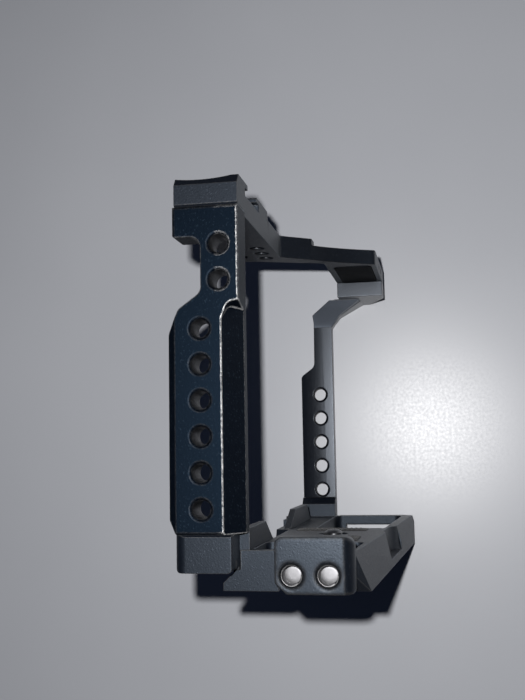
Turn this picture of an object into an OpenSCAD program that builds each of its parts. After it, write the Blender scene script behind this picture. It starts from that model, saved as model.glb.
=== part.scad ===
// Camera cage for a full-frame mirrorless body: a bolted aluminium frame that
// wraps the camera, with a cold shoe, rows of 1/4"-20 threads and a captive
// camera screw. Seen by its user from behind: +X is to the right, +Y is the
// way the lens points and +Z is up.

/* [Camera space] */
// Clear width between the side plate and the grip-side bar
camera_w = 130.1; // [126:0.1:136]
// Clear height from the base floor to the top plate
camera_h = 90.6; // [86:0.1:96]
// Distance of the camera screw from the side plate's inner face
screw_offset = 50.9; // [49:0.1:56]
// Distance of the camera screw behind the camera's front face
screw_setback = 16.4; // [15:0.1:20]

/* [Side plate] */
// Thickness of the side plate
plate_t = 9.6; // [8.5:0.1:12]
// Reach of the side plate in front of the camera's front face
plate_front = 19.7; // [19.2:0.1:21]
// How far the lower outer face stands forward of the plate's rear edge
scallop_w = 4.9; // [3:0.1:6]
// Depth of the long rear bevel below the upper part
scallop_d = 6.5; // [4:0.1:7.5]
// Height of the first threaded hole above the plate's foot
first_hole = 6.5; // [5:0.1:8]
// Distance between neighbouring holes in the long row
hole_pitch = 9.5; // [9.5:0.1:9.8]
// Number of holes in the long row
row_count = 6; // [4:1:6]

/* [Threads] */
// Core radius of a 1/4"-20 thread
core_r = 2.6; // [2.5:0.05:2.7]
// Radius of the countersunk rim round a thread
rim_r = 3.15; // [3:0.05:3.5]
// Radial clearance round a fixed fastener
fix_gap = 0.05; // [0.03:0.01:0.1]

/* [Top plate] */
// Thickness of the top plate's front strip
top_t = 7.4; // [7:0.1:9]
// Thickness of the top plate over the grip
grip_t = 5.1; // [4.6:0.1:6]
// Depth of the front strip
strip_d = 17.6; // [17.2:0.1:18.4]
// Length of the front strip up to the viewfinder side
strip_l = 66; // [62:0.5:68]
// How far the grip-side part sets back behind the camera's front face
grip_front = 12.9; // [12:0.1:14]
// Depth of the grip-side part
grip_d = 17.3; // [15:0.1:18]

/* [Cold shoe] */
// Width of the slot under the lips
shoe_slot = 18.8; // [18.6:0.05:19.2]
// Width of the opening between the lips
shoe_neck = 12.6; // [12.4:0.05:13]
// Height of the slot under the lips
shoe_gap = 2.4; // [2.1:0.05:2.6]
// Thickness of the lips
lip_t = 1.4; // [1.2:0.05:1.8]
// Distance of the slot's middle from the cage's left face
shoe_mid = 20.6; // [20:0.1:22]
// Length of the cold shoe's rails and slot along X
shoe_l = 45.6; // [44:0.1:47]
// Height of the slot's floor above the shoe's seat level
shoe_floor = 2.7; // [2.4:0.1:3.2]

/* [Grip-side bar] */
// Thickness of the bar
bar_t = 5; // [4.6:0.1:6]
// Rear edge of the bar, behind the camera's front face
bar_rear = 8.2; // [7.6:0.1:9]
// Width of the bar where its threads are
bar_w = 13; // [12.6:0.1:14]
// Width of the bar's neck
neck_w = 7.3; // [6.5:0.1:8]
// Length of the bar's wide stretch above its foot
bar_wide = 50; // [44:0.5:52]
// Height of the leg under the top plate
leg_h = 5.6; // [5:0.1:7]
// Length of the leg along X
leg_l = 23.2; // [20:0.1:25]
// Number of threads in the bar
bar_count = 5; // [3:1:5]

/* [Base] */
// Height of the base floor above the surface it stands on
base_h = 10.7; // [10.4:0.1:12]
// Thickness of the base floor
floor_t = 4.7; // [4.4:0.1:5]
// Reach of the base's lower lip in front of the camera's front face
base_front = 7.4; // [7:0.1:8]
// Depth of the base behind the camera's front face at the left end
base_rear = 31.6; // [30.6:0.1:32.4]
// Extra depth of the base at the grip end
base_flare = 7.3; // [6:0.1:8]
// Thickness of the base's end wall
end_wall = 5; // [4:0.1:6]
// Width of the rear rail
rail_w = 4.4; // [4:0.1:5]
// Width of the front rail
front_rail = 8.2; // [7:0.1:9]
// Length of the strap slot
strap_l = 17.7; // [16:0.1:20]
// Height of the strap slot
strap_h = 4.5; // [4.2:0.1:5]
// Height of the foot's top, where the side plate stands
foot_top = 15.5; // [15:0.1:17]
// Reach of the foot in front of the camera's front face
foot_front = 18.2; // [17.4:0.1:18.6]
// How far the base's rear face leans in towards its top, in degrees
rear_lean = 16.8; // [14:0.1:18]
// Length of the finger notch in the rear rail
notch_l = 32; // [26:0.5:36]

/* [Front fences] */
// Height of the fences above the base floor
fence_h = 5.9; // [5:0.1:8]
// Thickness of the fences
fence_t = 2.1; // [1.8:0.1:2.6]
// Width of the lens gap between the fences at the floor
lens_gap = 32; // [28:0.5:34]

/* [Side mount block] */
// Wall thickness of the block
block_t = 6; // [5.5:0.1:6.4]
// Width of the block
block_w = 20.3; // [20:0.1:22]
// Distance between the block's two holes
block_pitch = 9.4; // [9:0.1:9.8]
// Radius of the countersunk rims of the block's holes
block_rim_r = 3.5; // [3.1:0.05:3.7]
// Wall of the closed steel inserts in the block
insert_wall = 0.7; // [0.6:0.05:0.8]
// Thickness of an insert's closed end
insert_end = 1.1; // [0.8:0.1:1.5]
// How high the block stands above the base floor
block_rise = 4.3; // [4:0.1:5]

/* [Camera screw] */
// Outer radius of the 1/4"-20 thread
thread_r = 3.1; // [3:0.01:3.17]
// Travel of the captive screw
screw_travel = 2.8; // [2:0.1:2.9]
// How far the screw's tip stands above the floor when it is let down
tip_rest = 1.35; // [0.8:0.05:1.6]
// Radius of the screw's head
head_r = 5.6; // [5:0.1:6.5]
// Thickness of the screw's head
head_t = 2; // [1.6:0.1:2.1]
// Radial running clearance of the screw and its clip
run_gap = 0.08; // [0.05:0.01:0.1]

/* [Hidden] */

$fn = 48;
arc_steps = 6;   // segments in one rounded corner of an outline
cut = 1;         // how far a cutter runs past the face that it opens

anodised = "#2b2e33";
steel = "#8d9096";
rubber = "#17181a";

// Levels above the surface the cage stands on
top_z = base_h + camera_h;      // underside of the top plate
strip_z = top_z + top_t;        // top of the front strip
grip_z = top_z + grip_t;        // top of the grip-side part
seat_step = 1.45;               // the plate's end is rebated by this over the side plate
joint_z = top_z + seat_step;    // where the side plate and the top plate meet
groove = 0.55;                  // each side of a V-groove at a joint
shoe_seat = strip_z - 3.9;      // level from which the shoe's section rises
shoe_top = shoe_seat + shoe_floor + shoe_gap + lip_t;
leg_z = top_z - leg_h;          // underside of the bar's leg
bar_foot = 18;                  // shoulder of the bar above the ground

// Places along X
cage_l = plate_t + camera_w + bar_t;
bar_x = plate_t + camera_w;
screw_x = plate_t + screw_offset;
leg_x = cage_l - leg_l;
base_x = plate_t + 0.2;         // near end of the base's front rail
seat_x = block_t + 0.2;         // near end of the base under the block
block_end = 12.6;               // the camera's left stop
pocket_end = 33;                // near edge of the base floor
floor_end = 81;                 // near edge of the battery-door opening
lens_x = screw_x;

// Places along Y, from the camera's front face
far_rear = base_rear + base_flare;
rear_corner = [5.8, 3.2];       // chamfer of the base's rear corner beside the block, in plan
flare = atan(base_flare / (cage_l - seat_x));
rear_skew = flare + 1.16;       // the leaning face runs out a little faster than the base
notch_end = 92;                 // far wall of the finger notch in the rear rail
notch_z = 2.7;                  // height of the notch's floor
pocket_front = -0.3;            // front wall of the pocket behind the block

// Fasteners
m3_r = 1.5;
m3_head = 2.75;
m3_head_t = 2.2;
m25_r = 1.25;
m25_head = 2.3;

// ---- Shared shapes -------------------------------------------------------

function unit(v) = v / norm(v);

// The points of one corner p of radius r, between its neighbours a and b
function corner(a, p, b, r) =
    r == 0 ? [p] :
    let (u = unit(a - p), v = unit(b - p), half = acos(u * v) / 2)
    let (c = p + unit(u + v) * r / sin(half), s = p + u * r / tan(half) - c)
    let (turn = (cross(u, v) > 0 ? -1 : 1) * (180 - 2 * half))
    [for (i = [0:arc_steps]) let (g = turn * i / arc_steps)
        c + [s.x * cos(g) - s.y * sin(g), s.x * sin(g) + s.y * cos(g)]];

// An outline from corners [x, y, radius]
function rounded(q) =
    let (n = len(q), p = [for (c = q) [c.x, c.y]])
    [for (i = [0:n - 1]) each corner(p[(i + n - 1) % n], p[i], p[(i + 1) % n], q[i][2])];

// Stand an outline drawn in (y, z) up and run it along X
module along_x(x0, x1) {
    translate([x0, 0, 0]) rotate([90, 0, 90]) linear_extrude(x1 - x0) children();
}

// Stand an outline drawn in (x, z) up and run it along Y
module along_y(y0, y1) {
    translate([0, y1, 0]) rotate([90, 0, 0]) linear_extrude(y1 - y0) children();
}

// Raise an outline drawn in (x, y)
module along_z(z0, z1) {
    translate([0, 0, z0]) linear_extrude(z1 - z0) children();
}

module block_between(a, b) {
    translate(a) cube(b - a);
}

// A round cutter along +Z through a wall, with countersunk rims of radius a and b
module thread(wall, a, b) {
    translate([0, 0, -cut]) cylinder(h = wall + 2 * cut, r = core_r);
    if (a > core_r)
        translate([0, 0, -cut]) cylinder(h = cut + a - core_r, r1 = a + cut, r2 = core_r);
    if (b > core_r)
        translate([0, 0, wall - b + core_r]) cylinder(h = cut + b - core_r, r1 = core_r, r2 = b + cut);
}

// The same from one face to the other along X
module thread_x(x0, x1, y, z, rim = rim_r) {
    translate([x0, y, z]) rotate([0, 90, 0]) thread(x1 - x0, rim, rim);
}

// A cap screw along +Z: its head's underside is at 0 and its tip at length
module cap_screw(length, r, head, head_t) {
    difference() {
        union() {
            translate([0, 0, -head_t]) cylinder(h = head_t, r = head);
            cylinder(h = length, r = r);
        }
        translate([0, 0, -head_t - cut]) cylinder(h = cut + head_t * 0.55, r = head / 2, $fn = 6);
    }
}

// What a cap screw needs: its shank hole and an open counterbore under its head
module cap_hole(length, r, head, open) {
    translate([0, 0, -open]) cylinder(h = open, r = head + fix_gap);
    translate([0, 0, -cut / 2]) cylinder(h = length + cut / 2 + 0.2, r = r + fix_gap);
}

// ---- Where things stand --------------------------------------------------

hole_y = 10.75;
row_z = [for (i = [0:row_count - 1]) foot_top + first_hole + i * hole_pitch];
row_top = foot_top + first_hole + 5 * 9.5 + 4.2;    // top of the lower face
run_out = 3.4;                  // height of the long bevel's end above that
run_out_tilt = 17;
upper_y = 5.5;
upper_z = [joint_z - 20.2, joint_z - 10.5];
bar_hole_y = 5.5 - bar_rear;
bar_z = [for (i = [0:bar_count - 1]) bar_foot + 3.2 + i * hole_pitch];
corner_screw_y = [4.5, 13.5];
corner_screw_x = plate_t / 2;
corner_bore = 6.4;              // depth of the corner screws' bores in the side plate
corner_sink = 3.2;              // depth of their heads' seats below the shoe's top
corner_screw_l = shoe_top - corner_sink - joint_z + corner_bore - 0.6;
leg_screw_x = [leg_x + 7, cage_l - 7];
leg_screw_y = -grip_front - grip_d / 2;
lap_screw_y = [-bar_rear + 3, -bar_rear + 9.6];
relief_y = 2;                   // the curve of the inner face starts this far from its rear edge
relief_r = 38;
gusset = 7;                     // size of the gusset between the bar and its leg
lap_z = 12.5;
lap_x = cage_l - bar_t / 2;
lap_sink = 1.4;                 // depth of the lap screws' heads in the bar's tongue
lap_bore = bar_x - 2.2;         // bottom of the lap screws' bores in the upright
upright_t = 3;                  // how far the upright stands inside the bar
foot_screw_y = 5.4;
foot_pin_y = 14.6;
foot_pin_r = 1;
block_y0 = -28.6;
block_y1 = block_y0 + block_w;
block_hole_y = [for (i = [-0.5, 0.5]) (block_y0 + block_y1) / 2 + 1.2 + i * block_pitch];
block_hole_z = 5.3;
insert_x = block_rim_r - core_r;        // the inserts sit behind the countersunk mouths
block_top = base_h + block_rise;
block_screw_y = [block_y0 + 5.2, block_y1 - 5.2];
block_screw_x = (seat_x + block_end) / 2;
lean = 13;                      // run of the right fence's slanted end
fence_end = 20;                 // the right fence ends this far from the cage's end
fence_x = [base_x, lens_x - lens_gap / 2, lens_x + lens_gap / 2, cage_l - fence_end];
left_flange = [fence_x[0] + 8, fence_x[1] - 9];
right_flange = [fence_x[2] + lean, fence_x[3]];
fence_screws_x = [
    left_flange[0] + 4, left_flange[1] - 4, right_flange[0] + 5, right_flange[1] - 9,
];
fence_screw_y = 3.2;
m16_r = 0.8;
m16_head = 1.05;
flange_t = 2.2;
pad_w = 23;
pad_rear = -26;
pad_t = 0.8;
pad_sink = 0.4;
boss_z = 5;
clip_seat = boss_z + 1.3;
clip_t = 0.8;
clip_r = 4.4;
groove_r = 2.5;

// ---- Side plate ----------------------------------------------------------

module side_outline() {
    polygon(rounded([
        [0, foot_top, 0],
        [plate_front - 2, foot_top, 0],
        [plate_front, foot_top + 3.7, 1],
        [plate_front, row_top - 5.4, 3],
        [17.6, row_top - 1, 2],
        [16.6, row_top + 1.2, 2],
        [10.4, row_top + 5.6, 3],
        [10.4, joint_z - 8.4, 3],
        [18.2, joint_z - 8.4, 0.8],
        [18.2, joint_z, 0],
        [0, joint_z, 0],
    ]));
}

// Plan of the plate: narrow outer face below, full face above
module lower_plan() {
    polygon([
        [scallop_d, 0], [plate_t, 0], [plate_t, plate_front], [1.6, plate_front],
        [0, plate_front - 2.1], [0, scallop_w],
    ]);
}

module upper_plan() {
    polygon([
        [0.4, 0], [plate_t, 0], [plate_t, plate_front], [1.6, plate_front],
        [0, plate_front - 2.1], [0, 0.4],
    ]);
}

module left_side_plate() {
    color(anodised) difference() {
        intersection() {
            along_x(0, plate_t) side_outline();
            union() {
                along_z(foot_top, joint_z) lower_plan();
                // The full face ends below in a rounded run-out of the long bevel,
                // which falls away towards the plate's inner face
                intersection() {
                    along_z(foot_top, joint_z) upper_plan();
                    translate([0, 0, row_top + run_out]) rotate([0, run_out_tilt, 0])
                        along_x(-plate_t, 3 * plate_t) polygon(rounded([
                            [-cut, 0, 0],
                            [scallop_w - 1.6, -0.7, 2.4],
                            [scallop_w, -run_out - 1.6, 0],
                            [scallop_w, -run_out - 2, 0],
                            [plate_front + cut, -run_out - 2, 0],
                            [plate_front + cut, joint_z, 0],
                            [-cut, joint_z, 0],
                        ]));
                }
            }
        }
        for (z = row_z) thread_x(0, plate_t, hole_y, z);
        for (z = upper_z) thread_x(0, plate_t, upper_y, z);
        // Half of the V-groove at the top and bottom joints of the outer face
        for (z = [foot_top, joint_z]) v_groove(z);
        for (y = corner_screw_y) {
            translate([corner_screw_x, y, joint_z - corner_bore])
                cylinder(h = corner_bore + cut, r = m3_r + fix_gap);
        }
        translate([corner_screw_x, foot_screw_y, foot_top - cut])
            cylinder(h = cut + 11.2, r = m3_r + fix_gap);
        translate([corner_screw_x, foot_pin_y, foot_top - cut])
            cylinder(h = cut + 2.6, r = foot_pin_r + fix_gap);
    }
}

// The V that runs across the cage's left face at a joint
module v_groove(z) {
    along_y(-cut, plate_front + cut)
        polygon([[-cut, z - groove - cut], [groove, z], [-cut, z + groove + cut]]);
}

// ---- Top plate -----------------------------------------------------------

module top_outline() {
    grip_rear = grip_front + grip_d;
    polygon(rounded([
        [0, 0, 0],
        [strip_l + 0.9, 0, 1.5],
        [strip_l + 8.1, 3.5 - grip_front, 0],
        [strip_l + 16.2, -4.9 - grip_front, 70],
        [strip_l + 22.1, -grip_rear, 1.5],
        [cage_l - 15, -grip_rear, 2],
        [cage_l, -grip_rear + 6.4, 2],
        [cage_l, -grip_front, 1],
        [strip_l + 15.4, -grip_front, 2.5],
        [strip_l + 6.5, 8, 14],
        [strip_l + 4, strip_d, 2],
        [0, strip_d, 0],
    ]));
}

// What is milled off above the grip, up to a square step
module grip_step() {
    along_x(strip_l - 4, cage_l + cut) polygon(rounded([
        [3.2 - grip_front, strip_z + cut, 0],
        [3.2 - grip_front, grip_z, 0.5],
        [-grip_front - grip_d - cut, grip_z, 0],
        [-grip_front - grip_d - cut, strip_z + cut, 0],
    ]));
}

// Section of the shoe across its slot, in (x, z)
module shoe_section() {
    slot_z = shoe_seat + shoe_floor;
    lip_z = slot_z + shoe_gap;
    polygon([
        [0, shoe_seat], [shoe_l, shoe_seat], [shoe_l - 1.5, shoe_top],
        [shoe_mid + shoe_neck / 2 + 0.4, shoe_top], [shoe_mid + shoe_neck / 2, shoe_top - 0.4],
        [shoe_mid + shoe_neck / 2, lip_z], [shoe_mid + shoe_slot / 2, lip_z],
        [shoe_mid + shoe_slot / 2, slot_z], [shoe_mid - shoe_slot / 2, slot_z],
        [shoe_mid - shoe_slot / 2, lip_z], [shoe_mid - shoe_neck / 2, lip_z],
        [shoe_mid - shoe_neck / 2, shoe_top - 0.4], [shoe_mid - shoe_neck / 2 - 0.4, shoe_top],
        [2.2, shoe_top], [0, shoe_top - 2.6],
    ]);
}

module top_plate() {
    color(anodised) difference() {
        union() {
            difference() {
                along_z(top_z, strip_z) top_outline();
                grip_step();
                // The shoe's section replaces the strip's top at the left end
                block_between([-cut, -cut, shoe_seat], [shoe_l, strip_d + cut, strip_z + cut]);
            }
            along_y(0, strip_d) shoe_section();
        }
        // Shallow thumb hollow along the left rail's top
        translate([-cut, strip_d * 0.62, shoe_top - 1 + 40]) rotate([0, 90, 0])
            cylinder(h = cut + shoe_mid - shoe_neck / 2 - 3.7, r = 40, $fn = 180);
        // Funnel for the accessory's foot at the rear end of the slot
        translate([shoe_mid, 0, shoe_seat + shoe_floor])
            along_z(0, shoe_gap) polygon([
                [-shoe_slot / 2 - 1, -cut], [shoe_slot / 2 + 1, -cut],
                [shoe_slot / 2 - 0.5, 2.5], [-shoe_slot / 2 + 0.5, 2.5],
            ]);
        // Rebate over the side plate
        block_between([-cut, -cut, top_z - cut], [plate_t, strip_d + cut, joint_z]);
        v_groove(joint_z);
        // Two staggered rows of threads beside the shoe
        for (i = [0:2])
            translate([shoe_l + 5.8 + i * 7.9, 5, top_z]) thread(top_t, core_r, rim_r);
        for (i = [0:1])
            translate([shoe_l + 9.75 + i * 7.9, 12.8, top_z]) thread(top_t, core_r, rim_r);
        for (y = corner_screw_y)
            translate([corner_screw_x, y, shoe_top - corner_sink]) rotate([180, 0, 0])
                cap_hole(corner_screw_l, m3_r, m3_head, corner_sink + cut);
        for (x = leg_screw_x)
            translate([x, leg_screw_y, grip_z - 2.2]) rotate([180, 0, 0])
                cap_hole(grip_t, m3_r, m3_head, 2.2 + cut);
        // Small threads in the rear edge for a strap eye or a cable tie
        for (x = [cage_l - 37.5, cage_l - 29.5])
            translate([x, -grip_front - grip_d - cut, top_z + grip_t / 2]) rotate([-90, 0, 0])
                cylinder(h = cut + 5, r = m25_r - 0.2);
        // Shallow bed of the rubber pad over the camera's shoulder
        along_z(top_z - cut, top_z + pad_sink) grip_pad_outline(0.15);
    }
}

module grip_pad_outline(grow = 0) {
    x0 = strip_l + 23.5 - grow;
    x1 = leg_x - 1.2 + grow;
    y0 = -grip_front - grip_d + 1.8 - grow;
    y1 = -grip_front - 2.4 + grow;
    polygon(rounded([[x0, y0, 2], [x1, y0, 2], [x1, y1, 2], [x0, y1, 2]]));
}

module grip_pad() {
    color(rubber) along_z(top_z + pad_sink - pad_t, top_z + pad_sink) grip_pad_outline();
}

// ---- Top corner screws ---------------------------------------------------

module top_corner_screws() {
    color(steel) for (y = corner_screw_y)
        translate([corner_screw_x, y, shoe_top - corner_sink]) rotate([180, 0, 0])
            cap_screw(corner_screw_l, m3_r, m3_head, m3_head_t);
}

// ---- Grip-side bar -------------------------------------------------------

module bar_outline() {
    front = bar_w - bar_rear;
    neck = neck_w - bar_rear;
    grip_rear = grip_front + grip_d;
    shoulder = bar_foot + bar_wide;
    polygon(rounded([
        [-bar_rear, lap_z - 4.3, 1],
        [front, lap_z - 4.3, 1],
        [front, shoulder - 1.2, 2],
        [neck + 0.2, shoulder + 2.6, 3],
        [neck, leg_z - 4.6, 4],
        [-grip_front, leg_z + 2.4, 0],
        [-grip_front, top_z, 0],
        [-grip_rear, top_z, 0],
        [-grip_rear, leg_z + 2.2, 0.8],
        [-grip_rear + 8, leg_z + 0.6, 5],
        [-bar_rear - 3.4, leg_z - 5.2, 3],
        [-bar_rear, leg_z - 9.4, 2.5],
    ]));
}

module grip_side_bar() {
    grip_rear = grip_front + grip_d;
    color(anodised) difference() {
        intersection() {
            union() {
                along_x(bar_x, cage_l) bar_outline();
                // The leg that reaches in under the top plate
                along_x(leg_x, cage_l) polygon([
                    [-grip_rear, leg_z], [-grip_front, leg_z],
                    [-grip_front, top_z], [-grip_rear, top_z],
                ]);
                // Gusset in the corner under the leg
                intersection() {
                    along_x(bar_x - gusset, cage_l) bar_outline();
                    along_y(-grip_rear, bar_w) polygon([
                        [bar_x - gusset, leg_z], [bar_x + cut, leg_z - gusset - cut],
                        [bar_x + cut, leg_z + cut], [bar_x - gusset, leg_z + cut],
                    ]);
                }
            }
            along_z(0, top_z + cut) polygon([
                [leg_x - cut, -grip_rear - cut], [cage_l - 15, -grip_rear],
                [cage_l, -grip_rear + 6.4], [cage_l, bar_w], [leg_x - cut, bar_w],
            ]);
        }
        for (z = bar_z) thread_x(bar_x, cage_l, bar_hole_y, z);
        inner_relief();
        // Half lap at the foot
        block_between([bar_x - cut, -bar_rear - cut, 0], [lap_x, bar_w, bar_foot]);
        for (y = lap_screw_y)
            translate([cage_l - lap_sink, y, lap_z]) rotate([0, -90, 0])
                cap_hole(bar_t, m25_r, m25_head, lap_sink + cut);
        for (x = leg_screw_x)
            translate([x, leg_screw_y, leg_z + 0.8])
                cylinder(h = leg_h, r = m3_r + fix_gap);
    }
}

// The bar's inner face falls away towards its front edge in one large curve
module inner_relief() {
    y = relief_y - bar_rear;
    difference() {
        block_between([bar_x - cut, y, bar_foot], [bar_x + bar_t / 2, bar_w, leg_z - gusset]);
        translate([bar_x + relief_r, y, 0]) cylinder(h = leg_z, r = relief_r, $fn = 180);
    }
}

module bar_top_screws() {
    color(steel) for (x = leg_screw_x)
        translate([x, leg_screw_y, grip_z - 2.2]) rotate([180, 0, 0])
            cap_screw(grip_t - 2.2 + leg_h - 1, m3_r, m3_head, 2);
}

module bar_foot_screws() {
    color(steel) for (y = lap_screw_y)
        translate([cage_l - lap_sink, y, lap_z]) rotate([0, -90, 0])
            cap_screw(cage_l - lap_sink - lap_bore - 0.5, m25_r, m25_head, 1.2);
}

// ---- Base ----------------------------------------------------------------

// Rear edge of the base at a place along X: it runs out towards the grip
function rear_y(x) = -base_rear - base_flare * (x - seat_x) / (cage_l - seat_x);

module base_outline() {
    polygon([
        [seat_x, rear_y(seat_x) + rear_corner.y],
        [seat_x + rear_corner.x, rear_y(seat_x + rear_corner.x)],
        [cage_l - 4, rear_y(cage_l - 4)], [cage_l, rear_y(cage_l) + 4],
        [cage_l, base_front - 2], [cage_l - 2, base_front],
        [base_x, base_front], [base_x, block_y1 + 0.1], [seat_x, block_y1 + 0.1],
    ]);
}

// The base's rear face is one plane that leans in towards its top and runs out
// a little faster than the base itself, so that it leaves the lower far corner upright
module rear_face() {
    x = seat_x + rear_corner.x;
    translate([x, rear_y(x), 0]) rotate([-rear_lean, 0, -rear_skew])
        block_between([-cage_l, -20, -cage_l], [2 * cage_l, 0, cage_l]);
}

// Notch for a fingertip through the top of the rear rail: a ramp leads into it
// from the near side, and it ends in a square wall
module rear_notch() {
    x1 = notch_end - seat_x;
    x0 = x1 - notch_l;
    translate([seat_x, -base_rear, 0]) rotate([0, 0, -flare])
        along_z(notch_z, base_h + cut) polygon([
            [x0, -cut], [x1, -cut], [x1, rail_w + cut],
            [x0 + 18, rail_w + cut], [x0 + 4, rail_w / 2], [x0, 0.2],
        ]);
}

// Dovetail flank along the front edge
module front_flank() {
    along_x(-cut, cage_l + cut) polygon([
        [base_front - 2.9, base_h + cut], [base_front - 2.9, 4.9],
        [base_front, 2], [base_front + cut, 2], [base_front + cut, base_h + cut],
    ]);
}

module foot() {
    intersection() {
        along_x(0, plate_t) polygon(rounded([
            [2.7, 5.7, 1.4], [foot_front, 5.7, 1.6], [foot_front, foot_top, 0], [2.7, foot_top, 0],
        ]));
        along_z(0, foot_top) polygon(rounded([
            [0, 2.7, 0.4], [plate_t, 2.7, 0], [plate_t, foot_front, 0], [0, foot_front, 3.2],
        ]));
    }
    // Web that carries the foot on the front rail
    along_z(5.7, base_h) polygon([
        [plate_t - cut, 2.7], [26, 0], [26, base_front - 2.9], [14, foot_front - 4.7],
        [plate_t - cut, foot_front - 2.6],
    ]);
}

// Through openings of the base, from above
module base_windows() {
    // Pocket behind the side mount block
    along_z(-cut, base_h + cut) polygon(rounded([
        [block_end, rear_y(block_end) + rail_w, 2], [pocket_end, rear_y(pocket_end) + rail_w, 2],
        [pocket_end, pocket_front, 2], [block_end, pocket_front, 2],
    ]));
    // Opening for the battery door
    along_z(-cut, base_h + cut) polygon(rounded([
        [floor_end, rear_y(floor_end) + rail_w, 3],
        [cage_l - end_wall, rear_y(cage_l - end_wall) + rail_w, 3],
        [cage_l - end_wall, -front_rail, 3], [floor_end, -front_rail, 3],
    ]));
}

module base_plate() {
    color(anodised) difference() {
        union() {
            difference() {
                union() {
                    difference() {
                        along_z(0, base_h) base_outline();
                        front_flank();
                    }
                    foot();
                }
                base_windows();
                rear_face();
                rear_notch();
                // Underside relief below the floor, left open behind the block
                block_between([pocket_end - cut, -25, -cut],
                    [floor_end + cut, pocket_front - 2.7, base_h - floor_t]);
                // Arch below the block, so that bolts pass its threads
                block_between([seat_x - cut, block_y0 + 2.6, -cut],
                    [block_end + cut, block_y1 + 0.8, 6.8]);
                // The floor's front edge is cut back at the lens
                along_y(0, base_front + cut) polygon([
                    [fence_x[1], base_h + cut], [fence_x[2], base_h + cut],
                    [fence_x[2] - 4, 5.4], [fence_x[1] + 4, 5.4],
                ]);
                // Near end of the rear rail is bevelled underneath
                along_y(-far_rear, block_y0 + 2.6)
                    polygon([[seat_x - cut, -cut], [block_end + 0.4, -cut], [seat_x - cut, 5.2]]);
            }
            translate([screw_x, -screw_setback, boss_z])
                cylinder(h = base_h - floor_t - boss_z + 0.5, r = 7.5);
            // Upright that carries the grip-side bar
            along_x(bar_x - upright_t, cage_l) polygon([
                [-bar_rear, 0], [bar_w - bar_rear, 0],
                [bar_w - bar_rear, bar_foot], [-bar_rear, bar_foot],
            ]);
        }
        // Chamfered top of the upright
        along_y(-bar_rear - cut, bar_w) polygon([
            [bar_x - upright_t - cut, bar_foot - 3.4], [bar_x + 0.6, bar_foot + cut],
            [bar_x - upright_t - cut, bar_foot + cut],
        ]);
        // Half lap of the bar's foot
        block_between([lap_x, -bar_rear - cut, lap_z - 4.35], [cage_l + cut, bar_w, bar_foot + cut]);
        for (y = lap_screw_y)
            translate([lap_bore, y, lap_z]) rotate([0, 90, 0])
                cylinder(h = bar_t, r = m25_r + fix_gap);
        // Captive camera screw: shank bore and the clip's counterbore
        translate([screw_x, -screw_setback, 0]) {
            cylinder(h = base_h + cut, r = thread_r + 0.15);
            translate([0, 0, clip_seat]) cylinder(h = base_h, r = clip_r + 0.3);
        }
        // Joint with the side plate
        v_groove(foot_top);
        translate([corner_screw_x, foot_screw_y, 8.6])
            cap_hole(8, m3_r, m3_head, 8.6);
        translate([corner_screw_x, foot_pin_y, foot_top - 4])
            cylinder(h = 4 + cut, r = foot_pin_r + fix_gap);
        // Strap slot through the end wall
        along_x(cage_l - end_wall - cut, cage_l + cut)
            translate([-12.1 - strap_l / 2, 3 + strap_h / 2])
                square([strap_l, strap_h], center = true);
        // Threads of the block and the fences
        for (y = block_screw_y)
            translate([block_screw_x, y, base_h - 3.4]) cylinder(h = 4, r = m25_r + fix_gap);
        for (x = fence_screws_x)
            translate([x, fence_screw_y, base_h - 5]) cylinder(h = 6, r = m16_r + fix_gap);
        // Beds of the floor pads
        along_z(base_h - pad_sink, base_h + cut) {
            left_pad_outline(0.15);
            right_pad_outline(0.15);
        }
    }
}

module left_pad_outline(grow = 0) {
    pad_outline(pocket_end + 2 - grow, screw_x - 9 + grow, grow);
}

module right_pad_outline(grow = 0) {
    pad_outline(screw_x + 9 - grow, floor_end - 1.5 + grow, grow);
}

module pad_outline(x0, x1, grow) {
    y0 = pad_rear - grow;
    y1 = pad_rear + pad_w + grow;
    polygon(rounded([[x0, y0, 2], [x1, y0, 2], [x1, y1, 2], [x0, y1, 2]]));
}

module left_pad() {
    color(rubber) along_z(base_h - pad_sink, base_h - pad_sink + pad_t) left_pad_outline();
}

module right_pad() {
    color(rubber) along_z(base_h - pad_sink, base_h - pad_sink + pad_t) right_pad_outline();
}

module foot_screw() {
    color(steel) translate([corner_screw_x, foot_screw_y, 8.6])
        cap_screw(17.6, m3_r, m3_head, m3_head_t);
}

module foot_pin() {
    color(steel) translate([corner_screw_x, foot_pin_y, foot_top - 4])
        cylinder(h = 6.4, r = foot_pin_r);
}

// ---- Front fences --------------------------------------------------------

module fence(x0, x1, lean0, lean1) {
    top = base_h + fence_h;
    along_y(0, fence_t) polygon(rounded([
        [x0, base_h, 0], [x1, base_h, 0],
        [x1 - lean1, top, lean1 > 0 ? 1.2 : 0.4], [x0 + lean0, top, lean0 > 0 ? 1.2 : 0.4],
    ]));
}

module left_fence() {
    color(anodised) difference() {
        union() {
            fence(fence_x[0], fence_x[1], 0.3, 11);
            // Thicker near end, sloped at its top
            along_x(fence_x[0], left_flange[0] - 1) polygon([
                [0, base_h], [fence_t + 1.2, base_h], [fence_t + 1.2, base_h + fence_h - 1.6],
                [0.8, base_h + fence_h], [0, base_h + fence_h],
            ]);
            along_y(0, base_front - 2.9) polygon([
                [left_flange[0], base_h], [left_flange[1], base_h],
                [left_flange[1] - 2, base_h + flange_t], [left_flange[0], base_h + flange_t],
            ]);
        }
        for (i = [0, 1]) fence_hole(fence_screws_x[i]);
    }
}

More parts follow.
